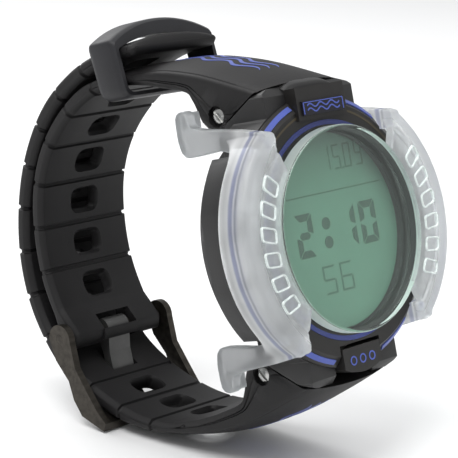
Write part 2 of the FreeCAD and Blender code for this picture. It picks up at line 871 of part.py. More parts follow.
def bar_frame():
    """The middle of the buckle's outer bar, the direction along the strap and the way out."""
    curve = curve_of(LONG_PATH)
    where = curve.parameter(Vector(61.6, -27.4, 0))
    base = curve.value(where)
    ahead = curve.tangent(where)[0]
    out = Vector(ahead.y, -ahead.x, 0)
    middle = base + out * (dim("long_thick") + 0.45 + dim("bar_thick") / 2)
    return middle, ahead, out


def bar_point(along, lift):
    middle, ahead, out = bar_frame()
    spot = middle + ahead * along + out * lift
    return (spot.x, spot.y)


def make_buckle():
    heel = (dim("heel_depth"), dim("heel_up"))
    half = dim("bar_length") / 2
    rise = dim("bar_thick") / 2
    arm = [
        (heel[0] + 3.0, heel[1] + 0.2),
        (72.4, -18.6),
        (69.6, -23.0),
        (69.0, -27.0),
        bar_point(half + 0.6, rise),
        bar_point(-half, rise),
        bar_point(-half, -rise),
        (62.6, -29.6),
        (64.6, -25.6),
        (67.0, -20.6),
        (heel[0] - 3.0, heel[1] - 0.6),
        ("arc", on_circle(heel, 3.0, 95), (heel[0] + 3.0, heel[1] + 0.2)),
    ]
    body = new_body("frame_solid")
    for side in (1, -1):
        flank = feature(
            body,
            "Pad",
            sketch_on(body, "YZ_Plane", [arm], side * dim("arm_side")),
            Length="Sheet.arm_gauge",
        )
        flank.Reversed = side > 0
    bar = [bar_point(half, rise), bar_point(-half, rise), bar_point(-half, -rise), bar_point(half, -rise)]
    pad_across(body, [bar], "2 * Sheet.arm_side")
    pocket_across(body, [("circle", heel, dim("pin_radius") + 0.03)], "2 * Sheet.arm_side + 2")
    rest = [
        bar_point(half + 1, rise + 1),
        bar_point(-half + 1.2, rise + 1),
        bar_point(-half + 1.2, rise - 0.9),
        bar_point(half + 1, rise - 0.9),
    ]
    pocket_across(body, [rest], "2 * Sheet.tongue_half_width + 0.8")
    node(body, "buckle_frame")

    sideways = Rotation(Vector(0, 1, 0), 90)
    node(cylinder("buckle_bar", "Sheet.pin_radius", "2 * Sheet.arm_side", heel[0],
                  -dim("arm_side"), heel[1], sideways), "buckle_pin")

    thick = dim("tongue_thick")
    lift = rise - 0.9 + 0.15
    tongue = [
        on_circle(heel, 2.1, 20),
        (71.1, -19.0),
        (70.4, -26.5),
        bar_point(half + 1.4, lift + thick),
        bar_point(-half + 1.6, lift + thick - 0.4),
        bar_point(-half + 1.5, lift),
        bar_point(half + 0.4, lift),
        (68.6, -26.5),
        (69.0, -19.5),
        on_circle(heel, 2.1, 200),
        ("arc", on_circle(heel, 2.1, 110), on_circle(heel, 2.1, 20)),
    ]
    prong = new_body("prong")
    pad_across(prong, [tongue], "2 * Sheet.tongue_half_width")
    pocket_across(prong, [("circle", heel, dim("pin_radius") + 0.04)], "20")
    node(prong, "buckle_tongue")


def make_keeper():
    """The loop that holds the long strap's tip: flat below, arched on top."""
    half = dim("keeper_half_width")
    wall = dim("keeper_wall")
    side = [(37.3, 30.7), (44.2, 30.3), (46.2, 44.9), (38.9, 45.3)]
    body = new_body("loop_solid")
    pad_across(body, [side], "2 * Sheet.keeper_half_width")
    hollow = [
        (1 + wall - half, 31.9),
        (half - wall - 1, 31.9),
        (half - wall, 32.9),
        (half - wall, 40.1),
        ("arc", (0, 42.2), (wall - half, 40.1)),
        (wall - half, 32.9),
    ]
    pocket_back(body, [hollow], 30, "30")
    crown = [(-20, 42.0), (-half, 42.0), ("arc", (0, 45.1), (half, 42.0)), (20, 42.0), (20, 50), (-20, 50)]
    pocket_back(body, [crown], 30, "30")
    return node(body, "strap_keeper")


# ---------------------------------------------------------------- assembly and export

os.makedirs("parts", exist_ok=True)
make_case()
make_bezel()
make_stripes()
make_badge()
make_window()
make_electronics()
make_back()
make_button()
make_protector()
make_short_strap()
make_long_strap()
make_strap_hardware()
make_buckle()
make_keeper()
doc.recompute()

failed = [thing.Name for thing in doc.Objects if {"Invalid", "Error"} & set(thing.State)]
if failed:
    raise RuntimeError(f"not recomputed: {failed}")

lean = Placement(Vector(), Rotation(Vector(1, 0, 0), -dim("lean_back")))
for piece in nodes:
    piece.Placement = lean * piece.Placement
doc.recompute()
bounds = FreeCAD.BoundBox()
for piece in nodes:
    bounds.add(piece.Shape.optimalBoundingBox(False))
middle = Vector((bounds.XMin + bounds.XMax) / 2, (bounds.YMin + bounds.YMax) / 2, bounds.ZMin)
stand = Placement(-middle, Rotation())
for piece in nodes:
    piece.Placement = stand * piece.Placement
doc.recompute()

for piece in nodes:
    if piece.Shape.isNull() or not piece.Shape.isValid():
        raise RuntimeError(f"{piece.Label} has no valid shape")
for piece in nodes:
    piece.Shape.exportStep(f"parts/{piece.Label}.step")
print(len(nodes), "sub-parts; moved by", -middle, "size", bounds.XLength, bounds.YLength, bounds.ZLength)
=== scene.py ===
import json
import math

import bmesh
import bpy
import numpy as np
from mathutils import Matrix, Vector


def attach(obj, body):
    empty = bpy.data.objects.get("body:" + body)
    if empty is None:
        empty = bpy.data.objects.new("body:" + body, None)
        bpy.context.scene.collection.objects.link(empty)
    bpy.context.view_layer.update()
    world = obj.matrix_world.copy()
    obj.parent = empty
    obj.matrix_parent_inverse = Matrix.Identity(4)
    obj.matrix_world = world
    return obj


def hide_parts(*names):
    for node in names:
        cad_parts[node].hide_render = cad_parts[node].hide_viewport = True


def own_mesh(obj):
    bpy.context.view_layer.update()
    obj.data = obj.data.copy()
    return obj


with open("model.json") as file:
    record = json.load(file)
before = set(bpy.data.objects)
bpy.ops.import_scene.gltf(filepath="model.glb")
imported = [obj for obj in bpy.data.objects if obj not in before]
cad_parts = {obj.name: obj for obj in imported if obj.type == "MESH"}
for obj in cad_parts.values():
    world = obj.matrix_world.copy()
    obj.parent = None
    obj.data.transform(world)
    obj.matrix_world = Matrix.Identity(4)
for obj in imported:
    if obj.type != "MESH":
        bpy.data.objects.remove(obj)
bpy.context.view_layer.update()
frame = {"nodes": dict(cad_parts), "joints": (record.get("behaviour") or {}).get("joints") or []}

# ---------------------------------------------------------------- axes of the watch itself
# Pieces are drawn in millimetres: x from 9 to 3 o'clock, y the depth behind the front of the screen
# protector, z towards 12 o'clock. The record's joints say where those axes lie in the frame.

JOINTS = {joint["name"]: joint for joint in frame["joints"]}
BACK = Vector(JOINTS["hatch_turn"]["axis"])
UP = Vector((0, -BACK.z, BACK.y))
MM = 0.001
HEEL = (70.2, -14.5)  # depth and height of the buckle's pin
ORIGIN = Vector(JOINTS["frame_hinge"]["pos_m"]) - BACK * HEEL[0] * MM - UP * HEEL[1] * MM
WATCH = Matrix(((1, 0, 0, 0), (0, BACK.y, UP.y, 0), (0, BACK.z, UP.z, 0), (0, 0, 0, 1)))
WATCH = Matrix.Translation(ORIGIN) @ WATCH @ Matrix.Scale(MM, 4)

SOFT_ANGLE = math.radians(32)  # edges sharper than this are softened


# ---------------------------------------------------------------- mesh helpers


def raw(name, verts, faces):
    """A new object with a mesh in watch millimetres."""
    mesh = bpy.data.meshes.new(name)
    mesh.from_pydata([tuple(v) for v in verts], [], faces)
    mesh.validate()
    obj = bpy.data.objects.new(name, mesh)
    bpy.context.scene.collection.objects.link(obj)
    work = bmesh.new()
    work.from_mesh(mesh)
    bmesh.ops.recalc_face_normals(work, faces=work.faces)
    work.to_mesh(mesh)
    work.free()
    return obj


def settled(obj, body, material, smooth=35.0, place=WATCH):
    """Moves a finished mesh into the frame, shades it and lets it ride on its body."""
    obj.data.transform(place)
    obj.data.update()
    obj.data.shade_smooth()
    obj.data.set_sharp_from_angle(angle=math.radians(smooth))
    obj.data.materials.clear()
    obj.data.materials.append(material)
    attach(obj, body)
    return obj


def baked(obj):
    """Replaces an object's mesh with the result of its modifiers."""
    bpy.context.view_layer.update()
    graph = bpy.context.evaluated_depsgraph_get()
    mesh = bpy.data.meshes.new_from_object(obj.evaluated_get(graph))
    obj.modifiers.clear()
    obj.data = mesh
    return obj


def soften(obj, width, segments=3, angle=SOFT_ANGLE):
    """Rounds an object's sharp edges. The width is in the unit of its mesh."""
    edge = obj.modifiers.new("soft_edges", "BEVEL")
    edge.width = width
    edge.segments = segments
    edge.angle_limit = angle


def removed(obj):
    """Takes an object and its mesh out of the file."""
    mesh = obj.data
    bpy.data.objects.remove(obj)
    bpy.data.meshes.remove(mesh)


def joined(name, parts):
    """One mesh from several (vertices, faces) pairs."""
    verts = []
    faces = []
    for part_verts, part_faces in parts:
        start = len(verts)
        verts += list(part_verts)
        faces += [[start + i for i in face] for face in part_faces]
    return raw(name, verts, faces)


def combine(obj, other, operation):
    """Boolean of obj with other, baked; other is used up."""
    cut = obj.modifiers.new("cut", "BOOLEAN")
    cut.object = other
    cut.operation = operation
    cut.solver = "MANIFOLD"
    baked(obj)
    removed(other)
    return obj


def skin(rings, closed=False):
    """Vertices and faces of a tube through rings of equal length, with ends capped."""
    count = len(rings[0])
    verts = [p for ring in rings for p in ring]
    faces = []
    steps = len(rings) if closed else len(rings) - 1
    for i in range(steps):
        a = i * count
        b = (i + 1) % len(rings) * count
        for j in range(count):
            k = (j + 1) % count
            faces.append([a + j, a + k, b + k, b + j])
    if not closed:
        faces.append(list(range(count))[::-1])
        faces.append(list(range((len(rings) - 1) * count, len(rings) * count)))
    return verts, faces


def lathe(profile, steps=160, start=0.0, sweep=360.0):
    """A (radius, depth) profile turned about the watch's axis; angles run from 3 to 12 o'clock."""
    full = abs(sweep - 360.0) < 1e-6
    rings = []
    for i in range(steps if full else steps + 1):
        angle = math.radians(start + sweep * i / steps)
        rings.append([(r * math.cos(angle), d, r * math.sin(angle)) for r, d in profile])
    return skin(rings, closed=full)


def prism(outline, low, high, axis="x"):
    """An outline of (depth, height) points pushed along x, or of (x, height) points along y."""
    if axis == "x":
        rings = [[(at, a, b) for a, b in outline] for at in (low, high)]
    else:
        rings = [[(a, at, b) for a, b in outline] for at in (low, high)]
    return skin(rings)


def ribbon(points, width, low, high, closed=False):
    """A flat line of given width along (x, z) points, from depth low to depth high."""
    points = [Vector(p) for p in points]
    left = []
    right = []
    for i, here in enumerate(points):
        before = points[i - 1] if i else (points[-1] if closed else here)
        after = points[(i + 1) % len(points)] if i < len(points) - 1 or closed else here
        ahead = (after - before).normalized()
        out = Vector((-ahead.y, ahead.x)) * width / 2
        left.append(here + out)
        right.append(here - out)
    rings = [
        [(a.x, low, a.y), (a.x, high, a.y), (b.x, high, b.y), (b.x, low, b.y)]
        for a, b in zip(left, right)
    ]
    return skin(rings, closed)


def rounded(points, radius, steps=5):
    """A closed outline with its corners rounded."""
    out = []
    count = len(points)
    for i, here in enumerate(points):
        here = Vector(here)
        before = Vector(points[i - 1]) - here
        after = Vector(points[(i + 1) % count]) - here
        reach = min(radius, before.length * 0.45, after.length * 0.45)
        first = here + before.normalized() * reach
        last = here + after.normalized() * reach
        for j in range(steps + 1):
            t = j / steps
            spot = first * (1 - t) ** 2 + here * 2 * t * (1 - t) + last * t**2
            out.append((spot.x, spot.y))
    return out


class Curve:
    """A smooth curve through points in a plane, followed by its length."""

    def __init__(self, points):
        points = np.array(points, float)
        chord = np.concatenate([[0], np.cumsum(np.linalg.norm(np.diff(points, axis=0), axis=1))])
        count = len(points)
        system = np.zeros((count, count))
        right = np.zeros((count, 2))
        system[0, 0] = system[-1, -1] = 1
        gap = np.diff(chord)
        for i in range(1, count - 1):
            system[i, i - 1 : i + 2] = gap[i - 1], 2 * (gap[i - 1] + gap[i]), gap[i]
            rise = (points[i + 1] - points[i]) / gap[i] - (points[i] - points[i - 1]) / gap[i - 1]
            right[i] = 6 * rise
        bend = np.linalg.solve(system, right)
        fine = []
        for i in range(count - 1):
            t = np.linspace(0, gap[i], 60, endpoint=False)[:, None]
            slope = (points[i + 1] - points[i]) / gap[i] - gap[i] * (2 * bend[i] + bend[i + 1]) / 6
            fine.append(
                points[i] + slope * t + bend[i] * t**2 / 2 + (bend[i + 1] - bend[i]) / (6 * gap[i]) * t**3
            )
        self.spots = np.concatenate(fine + [points[-1:]])
        steps = np.linalg.norm(np.diff(self.spots, axis=0), axis=1)
        self.along = np.concatenate([[0], np.cumsum(steps)])
        self.length = float(self.along[-1])

    def at(self, length):
        """The point at a length along the curve."""
        return np.array([np.interp(length, self.along, self.spots[:, k]) for k in (0, 1)])

    def ahead(self, length):
        """The direction of the curve at a length along it."""
        step = self.at(min(length + 0.05, self.length)) - self.at(max(length - 0.05, 0))
        return step / np.linalg.norm(step)

    def nearest(self, point):
        """The length along the curve that comes closest to a point."""
        return float(self.along[np.argmin(np.linalg.norm(self.spots - np.array(point), axis=1))])


# ---------------------------------------------------------------- materials


def new_material(name):
    """A material with its nodes, its links and its main shader."""
    material = bpy.data.materials.new(name)
    material.use_nodes = True
    nodes = material.node_tree.nodes
    return material, nodes, material.node_tree.links, nodes["Principled BSDF"]


def noise(nodes, links, source, scale, detail=2):
    """Soft noise laid over a vector."""
    node = nodes.new("ShaderNodeTexNoise")
    node.inputs["Scale"].default_value = scale
    node.inputs["Detail"].default_value = detail
    links.new(source, node.inputs["Vector"])
    return node.outputs["Fac"]


def blend(nodes, links, factor, first, second):
    """A mix of two shaders. The factor is a number or another node's output."""
    node = nodes.new("ShaderNodeMixShader")
    if isinstance(factor, float):
        node.inputs["Fac"].default_value = factor
    else:
        links.new(factor, node.inputs["Fac"])
    links.new(first, node.inputs[1])
    links.new(second, node.inputs[2])
    return node.outputs["Shader"]


def reckoned(nodes, links, operation, first, second):
    """Two values put through one operation."""
    node = nodes.new("ShaderNodeMath")
    node.operation = operation
    links.new(first, node.inputs[0])
    links.new(second, node.inputs[1])
    return node.outputs["Value"]


def toned(nodes, links, value, shader, low, high, dark, light):
    """Colours a shader from dark to light as a value goes from low to high."""
    tone = nodes.new("ShaderNodeValToRGB")
    for element, spot, colour in zip(tone.color_ramp.elements, (low, high), (dark, light)):
        element.position = spot
        element.color = (*colour, 1)
    links.new(value, tone.inputs["Fac"])
    links.new(tone.outputs["Color"], shader.inputs["Base Color"])


def mottled(name, dark, light, rough, rough_spread, grain, bump, metallic=0.0, stretch=None,
            gloss=0.35):
    """A surface whose colour and roughness vary softly and whose grain stands up a little."""
    material, nodes, links, shader = new_material(name)
    source = nodes.new("ShaderNodeTexCoord").outputs["Object"]
    if stretch:
        mapping = nodes.new("ShaderNodeMapping")
        mapping.inputs["Scale"].default_value = stretch
        links.new(source, mapping.inputs["Vector"])
        source = mapping.outputs["Vector"]
    broad = noise(nodes, links, source, 140, 4)
    toned(nodes, links, broad, shader, 0.32, 0.72, dark, light)
    level = spread(nodes, links, broad, 0.0, 1.0, rough - rough_spread, rough + rough_spread)
    links.new(level, shader.inputs["Roughness"])
    fine = noise(nodes, links, source, grain, 3)
    relief = nodes.new("ShaderNodeBump")
    relief.inputs["Strength"].default_value = bump
    relief.inputs["Distance"].default_value = 0.0001
    links.new(fine, relief.inputs["Height"])
    links.new(relief.outputs["Normal"], shader.inputs["Normal"])
    shader.inputs["Metallic"].default_value = metallic
    shader.inputs["Specular IOR Level"].default_value = gloss
    return material


def lamp_clear(nodes, links, surface, tint):
    """Puts a clear shader on its material and lets tinted light from the lamps through it."""
    output = nodes["Material Output"]
    path = nodes.new("ShaderNodeLightPath")
    clear = nodes.new("ShaderNodeBsdfTransparent")
    clear.inputs["Color"].default_value = (*tint, 1)
    mix = blend(nodes, links, path.outputs["Is Shadow Ray"], surface, clear.outputs["BSDF"])
    links.new(mix, output.inputs["Surface"])


def lens_glass():
    """Flat window glass with faint smears."""
    material, nodes, links, shader = new_material("mineral_glass")
    shader.inputs["Base Color"].default_value = (0.93, 0.99, 0.96, 1)
    shader.inputs["Transmission Weight"].default_value = 1
    shader.inputs["IOR"].default_value = 1.45
    smear = noise(nodes, links, nodes.new("ShaderNodeTexCoord").outputs["Object"], 220)
    links.new(spread(nodes, links, smear, 0.4, 0.8, 0.0, 0.04), shader.inputs["Roughness"])
    lamp_clear(nodes, links, shader.outputs["BSDF"], (0.90, 0.97, 0.94))
    return material


def watch_place(nodes, links):
    """A vector output with the surface point in watch millimetres."""
    place = nodes.new("ShaderNodeTexCoord")
    local = nodes.new("ShaderNodeMapping")
    inverse = WATCH.inverted()
    local.inputs["Rotation"].default_value = inverse.to_3x3().normalized().to_euler()
    local.inputs["Scale"].default_value = (1000, 1000, 1000)
    local.inputs["Location"].default_value = inverse.translation
    links.new(place.outputs["Object"], local.inputs["Vector"])
    return local.outputs["Vector"]


def from_middle(nodes, links, vector):
    """The distance of a watch point from the axis of the display, and the point's depth."""
    split = nodes.new("ShaderNodeSeparateXYZ")
    links.new(vector, split.inputs["Vector"])
    flat = nodes.new("ShaderNodeCombineXYZ")
    links.new(split.outputs["X"], flat.inputs["X"])
    links.new(split.outputs["Z"], flat.inputs["Z"])
    radius = nodes.new("ShaderNodeVectorMath")
    radius.operation = "LENGTH"
    links.new(flat.outputs["Vector"], radius.inputs[0])
    return radius.outputs["Value"], split.outputs["Y"]


def spread(nodes, links, value, low, high, to_low=0.0, to_high=1.0):
    """A value moved from one range to another and clamped there."""
    level = nodes.new("ShaderNodeMapRange")
    level.inputs["From Min"].default_value = low
    level.inputs["From Max"].default_value = high
    level.inputs["To Min"].default_value = to_low
    level.inputs["To Max"].default_value = to_high
    links.new(value, level.inputs["Value"])
    return level.outputs["Result"]


def clear_disc():
    """Clear in the middle, with a frosted, slightly green edge."""
    material, nodes, links, shader = new_material("shield_disc")
    local = watch_place(nodes, links)
    radius = from_middle(nodes, links, local)[0]
    rim = spread(nodes, links, radius, 18.84, 18.98)
    scuffs = noise(nodes, links, local, 0.35, 6)
    glassy = nodes.new("ShaderNodeBsdfGlass")
    glassy.inputs["Color"].default_value = (0.955, 0.995, 0.975, 1)
    glassy.inputs["IOR"].default_value = 1.47
    links.new(spread(nodes, links, scuffs, 0.45, 0.85, 0.0, 0.03), glassy.inputs["Roughness"])
    shader.inputs["Base Color"].default_value = (0.80, 0.90, 0.86, 1)
    shader.inputs["Roughness"].default_value = 0.22
    glow = nodes.new("ShaderNodeBsdfTranslucent")
    glow.inputs["Color"].default_value = (0.84, 0.93, 0.90, 1)
    edge = blend(nodes, links, 0.35, shader.outputs["BSDF"], glow.outputs["BSDF"])
    fogging = spread(nodes, links, rim, 0.0, 1.0, 0.0, 0.62)
    fog = blend(nodes, links, fogging, glassy.outputs["BSDF"], edge)
    lamp_clear(nodes, links, fog, (0.93, 0.97, 0.95))
    return material


def frosted():
    """Moulded clear plastic: misty on the front plate and denser outwards. Its colour runs through lines
    that follow
    the depth on the wall and the arms: white painted highlights, a blue painted reflection, grey lines
    darker towards the back."""
    material, nodes, links, shader = new_material("shield_frosted")
    local = watch_place(nodes, links)
    radius, depth = from_middle(nodes, links, local)
    mist = noise(nodes, links, local, 0.22, 3)
    stretched = nodes.new("ShaderNodeMapping")
    stretched.inputs["Scale"].default_value = (0.25, 2.6, 0.25)
    links.new(local, stretched.inputs["Vector"])
    streaks = noise(nodes, links, stretched.outputs["Vector"], 1.0, 4)
    relief = nodes.new("ShaderNodeBump")
    relief.inputs["Strength"].default_value = 0.12
    relief.inputs["Distance"].default_value = 0.0002
    links.new(streaks, relief.inputs["Height"])

    outward = spread(nodes, links, radius, 23.6, 25.0)
    inward = spread(nodes, links, depth, 2.6, 3.4)
    fogged = spread(nodes, links, reckoned(nodes, links, "ADD", outward, inward), 0.0, 1.0)

    glassy = nodes.new("ShaderNodeBsdfGlass")
    glassy.inputs["IOR"].default_value = 1.38
    links.new(spread(nodes, links, fogged, 0.0, 1.0, 0.10, 0.40), glassy.inputs["Roughness"])
    links.new(relief.outputs["Normal"], glassy.inputs["Normal"])
    wander = nodes.new("ShaderNodeMath")
    wander.operation = "MULTIPLY_ADD"
    wander.inputs[1].default_value = 0.35
    links.new(mist, wander.inputs[0])
    links.new(depth, wander.inputs[2])
    # Colour along the depth: white steps are painted highlights on the crest, blue steps a painted
    # reflection of the blue accent, grey steps darken towards the back.
    painted_light_and_tone_bands = nodes.new("ShaderNodeValToRGB")
    ramp = painted_light_and_tone_bands.color_ramp
    ramp.elements[0].position = 0.0
    ramp.elements[0].color = (0.70, 0.72, 0.73, 1)
    ramp.elements[1].position = 1.0
    ramp.elements[1].color = (0.34, 0.35, 0.36, 1)
    for spot, red, green, blue in (
        (0.19, 0.80, 0.80, 0.80), (0.225, 0.24, 0.24, 0.26), (0.26, 0.88, 0.88, 0.88),
        (0.29, 0.10, 0.12, 0.32), (0.335, 0.17, 0.19, 0.42), (0.37, 0.88, 0.88, 0.88),
        (0.44, 0.62, 0.62, 0.62), (0.58, 0.96, 0.96, 0.96), (0.72, 0.50, 0.50, 0.51),
    ):
        ramp.elements.new(spot).color = (red, green, blue, 1)
    links.new(spread(nodes, links, wander.outputs["Value"], 0.0, 13.0), painted_light_and_tone_bands.inputs["Fac"])
    links.new(painted_light_and_tone_bands.outputs["Color"], shader.inputs["Base Color"])
    tint = nodes.new("ShaderNodeMix")
    tint.data_type = "RGBA"
    tint.inputs["Factor"].default_value = 0.4
    tint.inputs["A"].default_value = (1, 1, 1, 1)
    links.new(painted_light_and_tone_bands.outputs["Color"], tint.inputs["B"])
    links.new(tint.outputs["Result"], glassy.inputs["Color"])
    shader.inputs["Roughness"].default_value = 0.3
    links.new(relief.outputs["Normal"], shader.inputs["Normal"])
    glow = nodes.new("ShaderNodeBsdfTranslucent")
    glow.inputs["Color"].default_value = (0.80, 0.83, 0.84, 1)
    haze = blend(nodes, links, 0.45, shader.outputs["BSDF"], glow.outputs["BSDF"])
    dense = spread(nodes, links, fogged, 0.0, 1.0, 0.85, 1.0)
    uneven = spread(nodes, links, mist, 0.3, 0.7, 0.36, 0.58)
    cloud = reckoned(nodes, links, "MULTIPLY", dense, uneven)
    thinning = spread(nodes, links, depth, 8.5, 13.0, 1.0, 0.75)
    thin = reckoned(nodes, links, "MULTIPLY", cloud, thinning)
    wing = blend(nodes, links, thin, glassy.outputs["BSDF"], haze)
    lamp_clear(nodes, links, wing, (0.84, 0.87, 0.87))
    return material


def mark_plastic():
    """The raised marks: the same plastic, smoother, and whiter as a painted highlight along their outlines.
    """
    material, nodes, links, shader = new_material("shield_marks_painted_highlight")
    local = watch_place(nodes, links)
    mist = noise(nodes, links, local, 0.9)
    # Painted highlight: the whitish base colour makes the raised outlines read as lit edges.
    shader.inputs["Base Color"].default_value = (0.86, 0.90, 0.89, 1)
    shader.inputs["Roughness"].default_value = 0.18
    glassy = nodes.new("ShaderNodeBsdfGlass")
    glassy.inputs["Color"].default_value = (0.95, 0.985, 0.97, 1)
    glassy.inputs["IOR"].default_value = 1.4
    glassy.inputs["Roughness"].default_value = 0.08
    highlight_share = spread(nodes, links, mist, 0.3, 0.7, 0.42, 0.6)
    both = blend(nodes, links, highlight_share, glassy.outputs["BSDF"], shader.outputs["BSDF"])
    lamp_clear(nodes, links, both, (0.85, 0.88, 0.88))
    return material


def display_face():
    """Reflective display: grey green and a little uneven."""
    material, nodes, links, shader = new_material("display_face")
    cloud = noise(nodes, links, nodes.new("ShaderNodeTexCoord").outputs["Object"], 45)
    toned(nodes, links, cloud, shader, 0.25, 0.8, (0.119, 0.232, 0.179), (0.158, 0.288, 0.226))
    shader.inputs["Roughness"].default_value = 0.38
    return material


def plain(name, colour, rough, metallic=0.0):
    """A quiet surface with a trace of grain, for small parts."""
    dark = tuple(c * 0.92 for c in colour)
    light = tuple(min(c * 1.08, 1.0) for c in colour)
    return mottled(name, dark, light, rough, 0.05, 900, 0.08, metallic)


RUBBER = mottled(
    "strap_rubber", (0.0060, 0.0055, 0.0060), (0.0100, 0.0094, 0.0098), 0.58, 0.06, 2600, 0.24, gloss=0.3
)
KEEPER_RUBBER = mottled(
    "keeper_rubber", (0.012, 0.012, 0.014), (0.018, 0.018, 0.021), 0.5, 0.06, 2400, 0.2
)
CASE_PLASTIC = mottled(
    "case_plastic", (0.014, 0.0138, 0.0142), (0.021, 0.0205, 0.0205), 0.44, 0.06, 2100, 0.16
)
BEZEL_PLASTIC = mottled(
    "bezel_plastic", (0.012, 0.0112, 0.0108), (0.019, 0.0178, 0.0168), 0.34, 0.06, 1900, 0.12
)
BLUE = plain("accent_blue", (0.070, 0.100, 0.37), 0.34)
BLUE_RING = plain("display_blue", (0.036, 0.045, 0.155), 0.25)
BRONZE = plain("bronze_line", (0.072, 0.060, 0.040), 0.4, 0.4)
BLACK_GLOSS = plain("badge_black", (0.010, 0.010, 0.016), 0.2)
# Seal rubber; the same dark colour also paints the shade ring inside the blue ring.
SEAL_AND_SHADE = plain("seal_rubber", (0.016, 0.016, 0.016), 0.6)
STEEL = mottled("steel", (0.36, 0.36, 0.35), (0.48, 0.48, 0.47), 0.26, 0.07, 1500, 0.10, 1.0)
GUNMETAL = mottled(
    "gunmetal", (0.036, 0.032, 0.027), (0.066, 0.059, 0.050), 0.36, 0.09, 1300, 0.25, 0.85,
    stretch=(1, 6, 6),
)
TONGUE_METAL = mottled(
    "tongue_metal", (0.075, 0.075, 0.074), (0.115, 0.114, 0.112), 0.4, 0.08, 1300, 0.2, 0.7
)
WHITE_PLASTIC = plain("white_plastic", (0.72, 0.74, 0.72), 0.4)
BOARD = plain("board_lacquer", (0.02, 0.12, 0.05), 0.3)
BRASS = plain("brass", (0.55, 0.40, 0.17), 0.3, 1.0)
DISPLAY = display_face()
SEGMENT = plain("display_segment", (0.040, 0.082, 0.062), 0.4)
FAINT_SEGMENT = plain("display_segment_faint", (0.068, 0.135, 0.104), 0.4)
GLASS = lens_glass()
CLEAR_DISC = clear_disc()
FROSTED = frosted()
MARK_PAINTED_HIGHLIGHT = mark_plastic()


# ---------------------------------------------------------------- CAD nodes that stay

FINISH = {  # material, and width of the softened edges in mm
    "bezel_ring": (BEZEL_PLASTIC, 0.3),
    "accent_stripes": (BLUE, 0.0),
    "badge_plate": (BLACK_GLOSS, 0.12),
    "window_lens": (GLASS, 0.0),
    "lens_gasket": (SEAL_AND_SHADE, 0.0),
    "display_ring": (BLUE_RING, 0.06),
    "backlight_plate": (WHITE_PLASTIC, 0.0),
    "lcd_connectors": (SEAL_AND_SHADE, 0.0),
    "circuit_board": (BOARD, 0.0),
    "buzzer": (BRASS, 0.0),
    "pressure_sensor": (STEEL, 0.0),
    "battery_contact": (STEEL, 0.0),
    "coin_cell": (STEEL, 0.2),
    "case_back": (CASE_PLASTIC, 0.22),
    "back_screws": (STEEL, 0.08),
    "water_contacts": (STEEL, 0.1),
    "battery_hatch": (BEZEL_PLASTIC, 0.22),
    "hatch_o_ring": (SEAL_AND_SHADE, 0.0),
    "button_cap": (BEZEL_PLASTIC, 0.7),
    "button_stem": (STEEL, 0.0),
    "button_o_ring": (SEAL_AND_SHADE, 0.0),
    "strap_pin_top": (STEEL, 0.0),
    "strap_pin_bottom": (STEEL, 0.0),
    "buckle_frame": (GUNMETAL, 0.3),
    "buckle_pin": (GUNMETAL, 0.12),
    "buckle_tongue": (TONGUE_METAL, 0.3),
}

for label, (finish, width) in FINISH.items():
    cad = frame["nodes"][label]
    for spot in cad.material_slots:
        spot.material = finish
    if width:
        soften(cad, width * MM)


# ---------------------------------------------------------------- straps

LUG_END = [(6.8, 27.8), (9.4, 28.9), (15.2, 31.1), (20.0, 32.8), (25.0, 34.2), (31.0, 35.4)]
LUG_INSIDE = [(16.6, 22.4), (17.6, 21.3), (20.6, 21.2), (22.8, 23.4), (23.9, 26.6), (25.2, 29.2)]
SHORT_PATH = [
    (27.5, 30.1), (31.5, 31.0), (35.0, 32.0), (39.0, 32.7), (43.0, 33.0), (48.0, 32.7), (55.0, 30.7),
    (60.5, 27.6), (65.5, 23.4), (69.2, 18.4), (71.5, 13.0), (72.7, 7.0), (73.0, 1.5), (72.4, -4.0),
    (71.0, -9.0),
]
LONG_PATH = [
    (27.5, -30.1), (33.0, -31.5), (38.0, -32.4), (45.0, -32.8), (53.7, -31.0), (61.6, -27.4),
    (69.0, -22.2), (72.9, -18.1), (75.5, -13.6), (77.5, -8.3), (78.5, -2.0), (78.1, 5.0), (76.3, 12.0),
    (73.3, 18.8), (68.9, 25.1), (62.9, 30.7), (55.0, 34.9), (48.0, 37.2), (43.0, 37.95), (38.6, 38.25),
]
HALF = 12.0  # half the strap's width
PITCH = 8.8  # from one slot to the next
LUG_STEPS = 34  # sections between the case and the strap's start
MARK_STEP = 0.9  # and from one section to the next along the rest
SHORT_THICK = 3.0
LONG_THICK = 3.1
BAND_RISE = 1.75  # how far the crown stands over the creases
BAND_HALF = 11.2  # half the width of the crown
TIP_CROWN = 0.8  # how crowned the long strap's tip is, beside the lugs' 1


